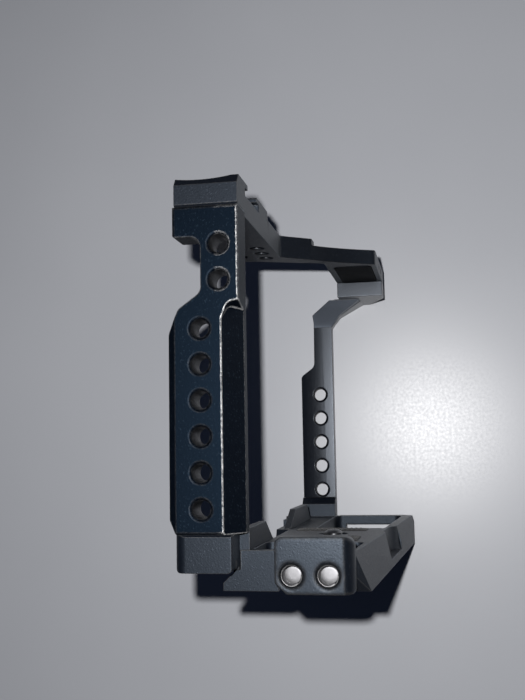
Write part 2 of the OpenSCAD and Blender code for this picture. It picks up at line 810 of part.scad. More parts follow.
module right_fence() {
    color(anodised) difference() {
        union() {
            fence(fence_x[2], fence_x[3], lean, 8);
            along_y(0, base_front - 2.9) polygon([
                [right_flange[0], base_h], [right_flange[1], base_h],
                [right_flange[1] - 3, base_h + flange_t], [right_flange[0], base_h + flange_t],
            ]);
        }
        for (i = [2, 3]) fence_hole(fence_screws_x[i]);
    }
}

module fence_hole(x) {
    translate([x, fence_screw_y, base_h - cut])
        cylinder(h = flange_t + 2 * cut, r = m16_r + fix_gap);
}

module fence_screws() {
    color(steel) for (x = fence_screws_x)
        translate([x, fence_screw_y, base_h + flange_t]) rotate([180, 0, 0])
            cap_screw(6.4, m16_r, m16_head, 0.9);
}

// ---- Side mount block ----------------------------------------------------

module side_mount_block() {
    color(anodised) difference() {
        intersection() {
            union() {
                along_x(0, block_t) block_face();
                // Lip over the base's end wall, the camera's left stop
                along_x(block_t - cut, block_end) polygon([
                    [block_y0 + 1.6, base_h], [block_y1 - 1.2, base_h],
                    [block_y1 - 1.2, block_top - 0.6], [block_y0 + 2.6, block_top - 0.6],
                ]);
            }
            // Rounded rear edge, seen from above
            along_z(-cut, block_top + cut) polygon(rounded([
                [-cut / 2, block_y0, 5], [block_end, block_y0, 0],
                [block_end, block_y1, 1.5], [-cut / 2, block_y1, 0.8],
            ]));
            block_between([0, block_y0 - cut, 0], [block_end, block_y1 + cut, block_top]);
        }
        // Countersunk mouths, and the bores behind them that the inserts sit in
        for (y = block_hole_y) {
            thread_x(0, block_t, y, block_hole_z, block_rim_r);
            translate([insert_x, y, block_hole_z]) rotate([0, 90, 0])
                cylinder(h = block_t, r = core_r + insert_wall + fix_gap);
        }
        for (y = block_screw_y)
            translate([block_screw_x, y, block_top - 2]) rotate([180, 0, 0])
                cap_hole(block_rise, m25_r, m25_head, 2 + cut);
    }
}

module block_face() {
    polygon(rounded([
        [block_y0, 0.6, 1], [block_y1 - 3, 0.6, 1], [block_y1, 3.4, 1],
        [block_y1, block_top, 2], [block_y0, block_top, 2.6],
    ]));
}

// Threaded steel inserts, closed at the back, against the shoulder in their bores
module block_inserts() {
    color(steel) for (y = block_hole_y)
        translate([insert_x, y, block_hole_z]) rotate([0, 90, 0]) difference() {
            cylinder(h = block_t - insert_x, r = core_r + insert_wall);
            translate([0, 0, -cut])
                cylinder(h = block_t - insert_x - insert_end + cut, r = core_r);
        }
}

module block_screws() {
    color(steel) for (y = block_screw_y)
        translate([block_screw_x, y, block_top - 2]) rotate([180, 0, 0])
            cap_screw(5.4, m25_r, m25_head, 1.3);
}

// ---- Captive camera screw ------------------------------------------------

module camera_screw() {
    head_top = boss_z - screw_travel;
    tip = base_h + tip_rest;
    clip_z = clip_seat + 0.05;
    color(steel) translate([screw_x, -screw_setback, 0]) difference() {
        rotate_extrude() polygon(rounded([
            [0, head_top - head_t, 0], [head_r, head_top - head_t, 0.3], [head_r, head_top, 0.3],
            [thread_r, head_top, 0], [thread_r, clip_z, 0], [groove_r, clip_z, 0],
            [groove_r, clip_z + clip_t + 0.1, 0], [thread_r, clip_z + clip_t + 0.1, 0],
            [thread_r, tip - 1, 0], [thread_r - 0.9, tip, 0], [0, tip, 0],
        ]));
        // Coin slot
        block_between([-head_r - cut, -0.8, head_top - head_t - cut],
            [head_r + cut, 0.8, head_top - head_t + 1.1]);
    }
}

module screw_clip() {
    color(steel) translate([screw_x, -screw_setback, clip_seat + 0.1]) difference() {
        cylinder(h = clip_t, r = clip_r);
        translate([0, 0, -cut]) cylinder(h = clip_t + 2 * cut, r = groove_r + run_gap);
        block_between([0, -1.6, -cut], [clip_r + cut, 1.6, clip_t + cut]);
    }
}

// ---- Assembly: the origin is under the middle of the cage, on the ground --

y_mid = (plate_front + rear_y(cage_l - 4)) / 2;

module placed() {
    translate([-cage_l / 2, -y_mid, 0]) children();
}

placed() left_side_plate();
placed() top_plate();
placed() top_corner_screws();
placed() grip_side_bar();
placed() bar_top_screws();
placed() bar_foot_screws();
placed() base_plate();
placed() foot_screw();
placed() foot_pin();
placed() side_mount_block();
placed() block_inserts();
placed() block_screws();
placed() left_fence();
placed() right_fence();
placed() fence_screws();
placed() camera_screw();
placed() screw_clip();
placed() left_pad();
placed() right_pad();
placed() grip_pad();
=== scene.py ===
"""Looks of the camera cage: finishes, edge bevels, threads, rubber and the photo's light."""
import math

import bpy
import bmesh
from mathutils import Matrix, Vector


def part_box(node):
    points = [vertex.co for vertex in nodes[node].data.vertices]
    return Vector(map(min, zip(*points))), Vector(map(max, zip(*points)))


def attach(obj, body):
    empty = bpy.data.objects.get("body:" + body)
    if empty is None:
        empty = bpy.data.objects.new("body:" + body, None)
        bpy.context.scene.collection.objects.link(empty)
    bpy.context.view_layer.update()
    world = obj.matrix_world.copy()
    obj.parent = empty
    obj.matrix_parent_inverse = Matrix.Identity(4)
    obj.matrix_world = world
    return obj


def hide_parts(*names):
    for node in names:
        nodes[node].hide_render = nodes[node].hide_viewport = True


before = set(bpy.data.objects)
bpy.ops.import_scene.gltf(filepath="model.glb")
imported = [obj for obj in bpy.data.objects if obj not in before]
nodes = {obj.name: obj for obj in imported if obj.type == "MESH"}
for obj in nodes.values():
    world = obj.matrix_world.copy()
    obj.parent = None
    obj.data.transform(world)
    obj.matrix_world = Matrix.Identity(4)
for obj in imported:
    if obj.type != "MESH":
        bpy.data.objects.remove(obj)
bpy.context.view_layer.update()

MM = 0.001

# ---- Places as part.scad counts them: millimetres from the cage's left face,
# ---- the camera's front face and the ground

CAGE_L = 144.7
Y_MID = -9.494585          # the row's origin, behind the camera's front face

PITCH = 1.27               # of a 1/4"-20 thread
CORE_R = 2.6
CREST_DEPTH = 0.22         # how far a thread's crests stand inside the core bore
RIM = 0.55                 # depth of a threaded hole's countersunk rim
HOLE_PITCH = 9.5           # between the threads of a long row

PLATE_T = 9.6              # thickness of the left side plate
PLATE_ROW = (10.75, 22.0)  # Y and Z of the lowest of its six threads
PLATE_UPPER = [(5.5, 82.55), (5.5, 92.25)]
BAR_X = 139.7              # inner face of the grip side bar
BAR_T = 5
BAR_ROW = (-2.7, 21.2)     # Y and Z of the lowest of its five threads
TOP_Z = 101.3              # underside of the top plate
STRIP_Z = 108.7            # upper face of its strip
TOP_PITCH = 7.9            # between the strip's threads
TOP_ROWS = [(51.4, 5.0, 3), (55.35, 12.8, 2)]      # X and Y of the first, and how many

SCREW = (60.5, -16.4)      # X and Y of the camera screw
INSERT_X = 0.9             # mouths of the block's inserts
INSERT_END = 4.88          # just before their closed ends
INSERT_Y = (-21.95, -12.55)
INSERT_Z = 5.3

SEAT_X = 6.2               # near end of the base, behind the block
BASE_REAR = 31.6           # its depth there, behind the camera's front face
BASE_FLARE = 7.3           # how much deeper it is at the grip end
REAR_CORNER_X = 12         # where its leaning rear face starts
LEAN = math.radians(16.8)  # of the rear face
SKEW = math.radians(4.18)  # of the rear face, in plan

CAMERA = (-242, -52.5, 37)
FLASH = (-242, -39.8, 54.6)


def row(x, y, z):
    """A place in the row frame, in metres."""
    return Vector(((x - CAGE_L / 2) * MM, (y - Y_MID) * MM, z * MM))


# ---- Node helpers ---------------------------------------------------------

class Shader:
    """A small builder of procedural materials on one Principled shader."""

    def __init__(self, name):
        self.mat = bpy.data.materials.new(name)
        self.mat.use_nodes = True
        self.tree = self.mat.node_tree
        self.tree.nodes.clear()
        self.out = self.add("ShaderNodeOutputMaterial")
        self.bsdf = self.add("ShaderNodeBsdfPrincipled")
        self.link(self.bsdf.outputs[0], self.out.inputs[0])
        self.coords = self.add("ShaderNodeTexCoord").outputs["Object"]

    def add(self, kind, **settings):
        node = self.tree.nodes.new(kind)
        for key, value in settings.items():
            setattr(node, key, value)
        return node

    def link(self, a, b):
        self.tree.links.new(a, b)

    def set(self, **values):
        for key, value in values.items():
            self.bsdf.inputs[key.replace("_", " ")].default_value = value

    def noise(self, size_mm, detail=2.0, rough=0.5):
        """Noise whose blobs are about size_mm across."""
        node = self.add("ShaderNodeTexNoise")
        node.inputs["Scale"].default_value = 1 / (size_mm * MM)
        node.inputs["Detail"].default_value = detail
        node.inputs["Roughness"].default_value = rough
        self.link(self.coords, node.inputs["Vector"])
        return node.outputs["Fac"]

    def ramp(self, source, stops):
        """A colour or grey ramp: stops are (place, colour or grey)."""
        node = self.add("ShaderNodeValToRGB")
        while len(node.color_ramp.elements) < len(stops):
            node.color_ramp.elements.new(0.5)
        for element, (place, colour) in zip(node.color_ramp.elements, stops):
            grey = isinstance(colour, (int, float))
            element.position = place
            element.color = (colour,) * 3 + (1,) if grey else tuple(colour) + (1,)
        self.link(source, node.inputs[0])
        return node.outputs[0]

    def mix(self, fac, a, b):
        node = self.add("ShaderNodeMix", data_type="RGBA")
        self.link(fac, node.inputs["Factor"])
        for value, socket in ((a, node.inputs["A"]), (b, node.inputs["B"])):
            if isinstance(value, (tuple, list)):
                socket.default_value = tuple(value) + (1,)
            else:
                self.link(value, socket)
        return node.outputs["Result"]

    def maths(self, how, a, b):
        node = self.add("ShaderNodeMath", operation=how)
        for value, socket in ((a, node.inputs[0]), (b, node.inputs[1])):
            if isinstance(value, (int, float)):
                socket.default_value = value
            else:
                self.link(value, socket)
        return node.outputs[0]

    def band_along_y(self, lo_mm, hi_mm, outside, fade=0.03, reach_mm=30):
        """A mask that is 1 between two places along Y, and falls to outside beyond them."""
        place = self.add("ShaderNodeSeparateXYZ")
        self.link(self.coords, place.inputs[0])
        along = self.maths("DIVIDE", place.outputs["Y"], reach_mm * MM)
        lo, hi = lo_mm / reach_mm, hi_mm / reach_mm
        return self.ramp(along, [(lo - fade, outside), (lo, 1.0), (hi, 1.0), (hi + fade, outside)])

    def rounded_edges(self, radius_mm, full):
        """The normal of edges rounded by radius_mm, and a mask of where they are: it is
        whole where the dot product of that normal and the face's is full or less."""
        node = self.add("ShaderNodeBevel", samples=6)
        node.inputs["Radius"].default_value = radius_mm * MM
        dot = self.add("ShaderNodeVectorMath", operation="DOT_PRODUCT")
        self.link(node.outputs[0], dot.inputs[0])
        self.link(self.add("ShaderNodeNewGeometry").outputs["Normal"], dot.inputs[1])
        return node.outputs[0], self.ramp(dot.outputs["Value"], [(full, 1.0), (0.994, 0.0)])

    def bump(self, height, depth_mm, strength, normal=None):
        node = self.add("ShaderNodeBump")
        if normal:
            self.link(normal, node.inputs["Normal"])
        node.inputs["Strength"].default_value = strength
        node.inputs["Distance"].default_value = depth_mm * MM
        self.link(height, node.inputs["Height"])
        self.link(node.outputs[0], self.bsdf.inputs["Normal"])


# ---- Finishes -------------------------------------------------------------

def anodised(name, deep, light, rough, gloss, tint, worn, edge_mm=0.35, full=0.95,
             grain_depth=0.05, band=None):
    """Dyed anodising over a bead-blasted face: fine pits, sparse bright specks. Square on
    it is nearly black; gloss and tint are what is left of its frontal reflection. Its
    edges are rounded, with thinner dye that is rubbed to the tone worn here and there,
    and hardly beyond the band, two places along Y in mm, where there is one."""
    s = Shader(name)
    fine = s.noise(0.5, detail=3, rough=0.7)
    specks = s.ramp(s.noise(0.55, detail=1), [(0.64, 0.0), (0.72, 1.0)])
    cloud = s.ramp(s.noise(14, detail=3), [(0.3, deep), (0.7, [c * 1.25 for c in deep])])
    colour = s.mix(s.maths("MULTIPLY", specks, 0.3), cloud, light)
    colour = s.mix(s.maths("MULTIPLY", fine, 0.03), colour, light)
    normal, edge = s.rounded_edges(edge_mm, full)
    rubbed = s.ramp(s.noise(0.9, detail=4, rough=0.65), [(0.36, 0.15), (0.62, 1.0)])
    edge = s.maths("MULTIPLY", edge, rubbed)
    if band:
        edge = s.maths("MULTIPLY", edge, s.band_along_y(*band, outside=0.12))
    s.link(s.mix(edge, colour, (worn,) * 3), s.bsdf.inputs["Base Color"])
    s.link(s.maths("MULTIPLY", edge, 0.9), s.bsdf.inputs["Metallic"])
    s.link(s.ramp(fine, [(0.25, rough - 0.09), (0.75, rough + 0.07)]),
           s.bsdf.inputs["Roughness"])
    s.set(IOR=1.5, Specular_IOR_Level=gloss, Specular_Tint=tint + (1,))
    s.bump(s.maths("ADD", fine, s.maths("MULTIPLY", specks, 0.4)), grain_depth, 0.8, normal)
    return s.mat


def steel(name, tone, rough, metallic=1.0):
    """Turned or rolled steel: a mottled tone and a fine grain."""
    s = Shader(name)
    blotch = s.noise(1.6, detail=4, rough=0.6)
    fine = s.noise(0.12, detail=2)
    low = [c * 0.82 for c in tone]
    s.link(s.ramp(blotch, [(0.3, low), (0.7, tone)]), s.bsdf.inputs["Base Color"])
    s.link(s.ramp(fine, [(0.2, rough - 0.06), (0.8, rough + 0.1)]),
           s.bsdf.inputs["Roughness"])
    s.set(Metallic=metallic, IOR=1.6)
    s.bump(fine, 0.004, 0.5)
    return s.mat


def rubber(name, tone, gloss=0.5):
    """Moulded rubber: fine stipple and patches of dust."""
    s = Shader(name)
    fine = s.noise(0.28, detail=2)
    dust = s.ramp(s.noise(5, detail=4), [(0.45, 0.0), (0.8, 0.3)])
    pale = [min(1, c * 3.2 + 0.01) for c in tone]
    s.link(s.mix(dust, tone, pale), s.bsdf.inputs["Base Color"])
    s.link(s.ramp(fine, [(0.2, 0.72), (0.8, 0.88)]), s.bsdf.inputs["Roughness"])
    s.set(Metallic=0.0, IOR=1.5, Specular_IOR_Level=gloss)
    s.bump(fine, 0.02, 0.6)
    return s.mat


COOL = (0.7, 0.83, 1.0)
BODY = anodised("anodised_body", deep=(0.0012, 0.002, 0.0042), light=(0.03, 0.037, 0.05),
                rough=0.5, gloss=0.42, tint=COOL, worn=0.12)
PLATE = anodised("anodised_plate", deep=(0.0004, 0.0009, 0.0024), light=(0.02, 0.03, 0.042),
                 rough=0.52, gloss=0.15, tint=(0.34, 0.62, 1.0), worn=0.9, edge_mm=0.5,
                 full=0.98, band=(10.0, 15.3))
TOP = anodised("anodised_top", deep=(0.0008, 0.0013, 0.0032), light=(0.03, 0.037, 0.05),
               rough=0.52, gloss=0.46, tint=COOL, worn=0.1)
BLOCK = anodised("anodised_block", deep=(0.0012, 0.002, 0.0042), light=(0.04, 0.048, 0.064),
                 rough=0.46, gloss=0.44, tint=COOL, worn=0.08, edge_mm=1.5)
BAR = anodised("anodised_bar", deep=(0.0006, 0.0012, 0.003), light=(0.012, 0.016, 0.024),
               rough=0.36, gloss=0.72, tint=(0.8, 0.88, 1.0), worn=0.12, grain_depth=0.015)
# Painted sheen: the fillet's anodising is given a far lighter colour than the bar's, standing in for
# the reflected light that lightens this curve.
FILLET_PAINTED_SHEEN = anodised("fillet_painted_sheen", deep=(0.09, 0.103, 0.125), light=(0.14, 0.16, 0.19),
                  rough=0.5, gloss=0.6, tint=COOL, worn=0.12)
BLACK_STEEL = steel("black_oxide_steel", (0.075, 0.075, 0.08), 0.34, 0.85)
SCREW_STEEL = steel("turned_steel", (0.16, 0.165, 0.175), 0.42)
TURNED = steel("turned_face", (0.24, 0.24, 0.25), 0.5)
INSERT_STEEL = steel("insert_steel", (0.2, 0.2, 0.205), 0.42)
THREAD = steel("cut_thread", (0.035, 0.037, 0.042), 0.34, 0.7)
RUBBER = rubber("stippled_rubber", (0.012, 0.012, 0.013))
# Painted shade: the shoulder rubber is toned far darker than the floor rubber, standing in for the
# shade on the grip part's underside.
PAD_RUBBER_PAINTED_SHADE = rubber("smooth_rubber_painted_shade", (0.002, 0.0026, 0.004), 0.1)


# ---- CAD nodes: welded, bevelled and given their finish ----------------------

def smooth_by_angle(limit):
    """A geometry node group that shades a mesh smooth but for its edges over limit."""
    tree = bpy.data.node_groups.new("smooth_by_angle", "GeometryNodeTree")
    tree.interface.new_socket("Mesh", in_out="INPUT", socket_type="NodeSocketGeometry")
    tree.interface.new_socket("Mesh", in_out="OUTPUT", socket_type="NodeSocketGeometry")
    start, end = tree.nodes.new("NodeGroupInput"), tree.nodes.new("NodeGroupOutput")
    faces = tree.nodes.new("GeometryNodeSetShadeSmooth")
    edges = tree.nodes.new("GeometryNodeSetShadeSmooth")
    edges.domain = "EDGE"
    edges.inputs["Shade Smooth"].default_value = False
    angle = tree.nodes.new("GeometryNodeInputMeshEdgeAngle")
    sharp = tree.nodes.new("FunctionNodeCompare")
    sharp.data_type, sharp.operation = "FLOAT", "GREATER_THAN"
    sharp.inputs[1].default_value = math.radians(limit)
    tree.links.new(angle.outputs["Unsigned Angle"], sharp.inputs[0])
    tree.links.new(sharp.outputs[0], edges.inputs["Selection"])
    tree.links.new(start.outputs[0], faces.inputs["Geometry"])
    tree.links.new(faces.outputs[0], edges.inputs["Geometry"])
    tree.links.new(edges.outputs[0], end.inputs[0])
    return tree


SMOOTH = smooth_by_angle(36)


def dress(name, mat, width_mm, clamp=False):
    """Round the sharp edges of a CAD node by width_mm and finish it. A node whose very
    short edges would make the bevel spike needs it clamped."""
    obj = nodes[name]
    obj.data.materials.clear()
    obj.data.materials.append(mat)
    weld = obj.modifiers.new("weld", "WELD")
    weld.merge_threshold = 0.02 * MM
    flat = obj.modifiers.new("flatten", "DECIMATE")
    flat.decimate_type = "DISSOLVE"
    flat.angle_limit = math.radians(1.5)
    bevel = obj.modifiers.new("edges", "BEVEL")
    bevel.width = width_mm * MM
    bevel.segments = 2
    bevel.limit_method = "ANGLE"
    bevel.angle_limit = math.radians(28)
    bevel.use_clamp_overlap = clamp
    obj.modifiers.new("smooth", "NODES").node_group = SMOOTH
    even = obj.modifiers.new("even", "WEIGHTED_NORMAL")
    even.keep_sharp = True


EDGE, FASTENER_EDGE, THIN_EDGE = 0.2, 0.1, 0.08        # bevel widths in mm

for name in ("base_plate", "left_fence", "right_fence"):
    dress(name, BODY, EDGE, clamp=True)
dress("top_plate", TOP, EDGE, clamp=True)
dress("side_mount_block", BLOCK, EDGE)
dress("left_side_plate", PLATE, EDGE)
dress("grip_side_bar", BAR, EDGE)
for name in ("top_corner_screws", "bar_top_screws", "bar_foot_screws",
             "foot_screw", "foot_pin", "block_screws", "fence_screws"):
    dress(name, BLACK_STEEL, FASTENER_EDGE)
dress("screw_clip", SCREW_STEEL, THIN_EDGE)
dress("block_inserts", INSERT_STEEL, THIN_EDGE)


# ---- Pieces in mesh code ----------------------------------------------------

def new_piece(name, bm, mat, body, smooth_angle=35):
    """A mesh piece that rides on a body."""
    mesh = bpy.data.meshes.new(name)
    bm.normal_update()
    bm.to_mesh(mesh)
    bm.free()
    obj = bpy.data.objects.new(name, mesh)
    bpy.context.scene.collection.objects.link(obj)
    mesh.materials.append(mat)
    for face in mesh.polygons:
        face.use_smooth = True
    mesh.set_sharp_from_angle(angle=math.radians(smooth_angle))
    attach(obj, body)
    return obj


def frame_along(origin, axis):
    """A matrix that stands a piece built along +Z at origin, along axis."""
    return Matrix.Translation(origin) @ Vector(axis).to_track_quat("Z", "Y").to_matrix().to_4x4()


def turned(r, angle, z):
    """A place in metres, from a radius, an angle and a height in mm."""
    return Vector((r * math.cos(angle) * MM, r * math.sin(angle) * MM, z * MM))


def stitch(bm, rings):
    """Faces between rings of as many points each, one after another."""
    for a, b in zip(rings, rings[1:]):
        for i in range(len(a)):
            j = (i + 1) % len(a)
            bm.faces.new((a[i], a[j], b[j], b[i]))


def helix_surface(bm, place, length, root_r, crest_r, steps=28, outside=False):
    """A cut thread as one helical surface. Ridges run from root_r to crest_r and
    fade out at both ends. place stands it along the hole, from its mouth."""
    profile = ((0.0, 0), (0.36, 1), (0.5, 1), (0.86, 0))
    turns = int(math.ceil(length / PITCH)) + 1
    rings = []
    for i in range(turns * steps + 1):
        angle = 2 * math.pi * i / steps
        ring = []
        for s, up in profile + ((1.0, 0),):
            z = (i / steps + s - 1) * PITCH
            held = min(max(z, 0), length)
            r = root_r if held != z or not up else crest_r
            ring.append(bm.verts.new(place @ turned(r, angle, held)))
        rings.append(ring)
    for a, b in zip(rings, rings[1:]):
        for k in range(len(a) - 1):
            quad = (a[k], b[k], b[k + 1], a[k + 1])
            if len({tuple(round(c * 1e8) for c in v.co) for v in quad}) < 4:
                continue
            bm.faces.new(quad if outside else quad[::-1])


def threads(name, holes, mat=THREAD):
    """Threads of several holes as one piece: each hole is (origin, axis, length)."""
    bm = bmesh.new()
    for origin, axis, length in holes:
        helix_surface(bm, frame_along(row(*origin), axis), length, CORE_R + 0.01,
                      CORE_R - CREST_DEPTH)
    bmesh.ops.remove_doubles(bm, verts=bm.verts, dist=1e-7)
    piece = new_piece(name, bm, mat, "frame", 50)


side_holes = [(PLATE_ROW[0], PLATE_ROW[1] + HOLE_PITCH * k) for k in range(6)] + PLATE_UPPER
threads("side_plate_threads",
        [((RIM, y, z), (1, 0, 0), PLATE_T - 2 * RIM) for y, z in side_holes])
threads("bar_threads",
        [((BAR_X + RIM, BAR_ROW[0], BAR_ROW[1] + HOLE_PITCH * k), (1, 0, 0), BAR_T - 2 * RIM)
         for k in range(5)])
threads("insert_threads",
        [((INSERT_X, y, INSERT_Z), (1, 0, 0), 4.0) for y in INSERT_Y],
        INSERT_STEEL)
top_holes = [(x + TOP_PITCH * k, y) for x, y, count in TOP_ROWS for k in range(count)]
threads("top_plate_threads",
        [((x, y, TOP_Z + 0.05), (0, 0, 1), STRIP_Z - TOP_Z - RIM - 0.05) for x, y in top_holes])


def lathe(bm, place, outline, steps=64):
    """Turn an outline of (radius, height) in mm round the piece's axis."""
    rings = []
    for r, z in outline:
        if r < 1e-6:
            rings.append([bm.verts.new(place @ Vector((0, 0, z * MM)))])
        else:
            rings.append([bm.verts.new(place @ turned(r, 2 * math.pi * i / steps, z))
                          for i in range(steps)])
    for a, b in zip(rings, rings[1:]):
        for i in range(steps):
            j = (i + 1) % steps
            if len(a) == 1:
                bm.faces.new((a[0], b[j], b[i]))
            elif len(b) == 1:
                bm.faces.new((a[i], a[j], b[0]))
            else:
                bm.faces.new((a[i], a[j], b[j], b[i]))


def camera_screw():
    """The captive screw: slotted and knurled head, plain neck, thread and domed tip. The
    head stops 0.05 mm short of the solid's, so that it doesn't lie on the boss when up."""
    bm = bmesh.new()
    steps, teeth, knurl = 144, 48, 0.22
    head_r, low, high = 5.6, 0.2, 2.15
    slot_w, slot_d = 0.8, 1.1
    neck_r, groove_r, groove_low, groove_high = 2.9, 2.5, 6.4, 7.3
    thread_z, thread_l, root_r, crest_r = 7.35, 3.6, 2.6, 3.08
    tip = [(2.62, 10.9), (2.85, 11.0), (2.5, 11.5), (1.9, 11.85), (1.0, 12.0), (0, 12.05)]
    place = Matrix.Translation(row(SCREW[0], SCREW[1], 0))

    def ring(r, z, depth=0.0):
        verts = []
        for i in range(steps):
            a = 2 * math.pi * i / steps
            rr = r - depth * (0.5 - 0.5 * math.cos(teeth * a))
            verts.append(bm.verts.new(place @ turned(rr, a, z)))
        return verts

    rings = [ring(0.4, low), ring(4.9, low), ring(5.25, low + 0.06),
             ring(head_r - 0.02, low + 0.4, knurl), ring(head_r - 0.02, high - 0.4, knurl),
             ring(5.25, high - 0.04), ring(5.0, high), ring(3.15, high),
             ring(neck_r, high + 0.3), ring(neck_r, groove_low), ring(groove_r, groove_low + 0.05),
             ring(groove_r, groove_high), ring(3.0, thread_z)]
    stitch(bm, rings)
    bm.faces.new(rings[0][::-1])
    # Coin slot pressed into the head's underside
    for v in bm.verts:
        local = v.co - row(SCREW[0], SCREW[1], 0)
        if local.z < (low + 0.07) * MM and abs(local.y) < slot_w * MM:
            v.co.z += slot_d * MM
    # Thread, then the chamfer and the domed tip
    helix_surface(bm, place @ Matrix.Translation((0, 0, thread_z * MM)), thread_l, root_r,
                  crest_r, steps=36, outside=True)
    lathe(bm, place, tip)
    bmesh.ops.remove_doubles(bm, verts=bm.verts, dist=1e-7)
    piece = new_piece("captive_screw", bm, SCREW_STEEL, "screw", 40)
    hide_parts("camera_screw")


camera_screw()


def rubber_sheet(name, node, mat, pitch=1.5, rise=0.22):
    """A thin moulded rubber sheet with rounded corners and low ribs along X on its face;
    without a pitch it is plain, and a hanging sheet faces down."""
    lo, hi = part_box(node)
    hangs = (lo.z + hi.z) / 2 > 0.05
    r, steps = 2 * MM, 8
    corners = [(hi.x - r, hi.y - r, 0), (lo.x + r, hi.y - r, 90),
               (lo.x + r, lo.y + r, 180), (hi.x - r, lo.y + r, 270)]
    outline = []
    for cx, cy, start in corners:
        for i in range(steps + 1):
            a = math.radians(start + 90 * i / steps)
            outline.append((cx, cy, math.cos(a), math.sin(a)))
    back, face = (hi.z, lo.z) if hangs else (lo.z, hi.z)
    out = -1 if hangs else 1
    ground = face - out * rise * MM            # the face between the ribs
    bm = bmesh.new()

    def ring(inset, z):
        return [bm.verts.new((cx + (r - inset) * ux, cy + (r - inset) * uy, z))
                for cx, cy, ux, uy in outline]

    rings = [ring(0, back), ring(0, ground - out * 0.12 * MM),
             ring(0.04 * MM, ground - out * 0.04 * MM), ring(0.12 * MM, ground)]
    stitch(bm, rings)
    bm.faces.new(rings[0][::-1])
    bm.faces.new(rings[-1])
    # Low ribs with sloping sides, from their foot over the top to the other foot
    margin, top, foot, slope = 1.2 * MM, 0.25, 0.45, 0.2
    count = int((hi.y - lo.y - 2 * margin) / (pitch * MM)) if pitch else 0
    start = (lo.y + hi.y) / 2 - count * pitch * MM / 2
    for i in range(count):
        mid = start + (i + 0.5) * pitch * MM
        lines = []
        for off, z, inset in ((-foot, ground, 0), (-top, face, slope), (top, face, slope),
                              (foot, ground, 0)):
            ends = (lo.x + margin + inset * MM, hi.x - margin - inset * MM)
            lines.append([bm.verts.new((x, mid + off * MM, z)) for x in ends])
        for a, b in zip(lines, lines[1:]):
            bm.faces.new((a[0], a[1], b[1], b[0]))
        bm.faces.new([line[0] for line in lines])
        bm.faces.new([line[1] for line in lines][::-1])
    bmesh.ops.recalc_face_normals(bm, faces=bm.faces)
    piece = new_piece(name, bm, mat, "frame", 30)
    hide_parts(node)


rubber_sheet("left_floor_rubber", "left_pad", RUBBER)
rubber_sheet("right_floor_rubber", "right_pad", RUBBER)
# The shoulder rubber's near-black tone is painted shade.
rubber_sheet("shoulder_rubber", "grip_pad", PAD_RUBBER_PAINTED_SHADE, pitch=0, rise=0)


# ---- Forms that the photo shows and the CAD nodes have plainer -----------------

def skin(name, rings, mat):
    """A closed piece through rings of as many points each, in part.scad's millimetres."""
    bm = bmesh.new()
    loops = [[bm.verts.new(row(*p)) for p in ring] for ring in rings]
    stitch(bm, loops)
    bm.faces.new(loops[0][::-1])
    bm.faces.new(loops[-1])
    bmesh.ops.recalc_face_normals(bm, faces=bm.faces)
    new_piece(name, bm, mat, "frame", 30)


def between(x, points):
    """Straight lines through points (x, y), read at x."""
    for (x0, y0), (x1, y1) in zip(points, points[1:]):
        if x <= x1:
            return y0 + (y1 - y0) * (x - x0) / (x1 - x0)
    return points[-1][1]


def leg_fillet():
    """The hollow curve from the bar's inner face to the underside of its leg, between the
    bar's front and rear edges, which are given as (Z, Y)."""
    low, bend, high = (BAR_X - 0.02, 86.4), (BAR_X - 0.1, 89.2), (127.5, 95.62)
    front = [(80, -0.95), (91.0, -0.95), (96, -9.5)]
    rear = [(80, -8.15), (86.3, -8.15), (90.5, -11.5), (96, -21.4)]
    sunk, inset, steps = 0.1, 0.08, 12
    rings = []
    for i in range(steps + 1):
        t = i / steps
        x, z = ((1 - t) ** 2 * a + 2 * t * (1 - t) * b + t ** 2 * c
                for a, b, c in zip(low, bend, high))
        y0, y1 = between(z, rear) + inset, between(z, front) - inset
        back = BAR_X + sunk
        rings.append([(x, y0, z), (x, y1, z), (back, y1, z), (back, y0, z)])
    # Its light finish is painted sheen, standing in for reflected light on the curve.
    skin("leg_fillet", rings, FILLET_PAINTED_SHEEN)


def base_rear_y(x):
    """The base's rear edge at the ground."""
    return -BASE_REAR - BASE_FLARE * (x - SEAT_X) / (CAGE_L - SEAT_X)


def rear_face_y(x, z):
    """The base's leaning rear face, or its rear edge where the lean hasn't reached it."""
    up = z / math.cos(LEAN)
    along = (x - REAR_CORNER_X - up * math.sin(SKEW) * math.sin(LEAN)) / math.cos(SKEW)
    leaning = (base_rear_y(REAR_CORNER_X) - along * math.sin(SKEW)
               + up * math.cos(SKEW) * math.sin(LEAN))
    return max(leaning, base_rear_y(x))


def notch_cheek():
    """A filling that makes a closed hollow of the finger notch: it starts flush with the
    rail's rear face, dips to a thin web and rises in a curve to the notch's far wall."""
    start, curve, end = 60.4, 84.0, 91.95
    floor, top = 2.65, 10.68
    dip_max, dip_run, proud = 3.5, 8, 0.02
    opening_x, rail_near, rail_far = 80.9, 5.35, 4.37
    near_steps, far_steps = 10, 12
    quarter = math.pi / 2
    places = [start + (curve - start) * i / near_steps for i in range(near_steps + 1)]
    places += [curve + (end - curve) * i / far_steps for i in range(1, far_steps + 1)]
    rings = []
    for x in places:
        if x > curve:
            dip = dip_max * math.cos(quarter * min(1, (x - curve) / (end - curve)))
        else:
            dip = dip_max * math.sin(quarter * min(1, (x - start) / dip_run))
        inner = base_rear_y(x) + (rail_near if x < opening_x else rail_far)
        low_y = rear_face_y(x, floor) + proud + dip
        high_y = max(rear_face_y(x, top) + proud, base_rear_y(x) + dip)
        rings.append([(x, low_y, floor), (x, min(high_y, inner - 0.3), top),
                      (x, inner, top), (x, inner, floor)])
    skin("notch_cheek", rings, BODY)


leg_fillet()
notch_cheek()


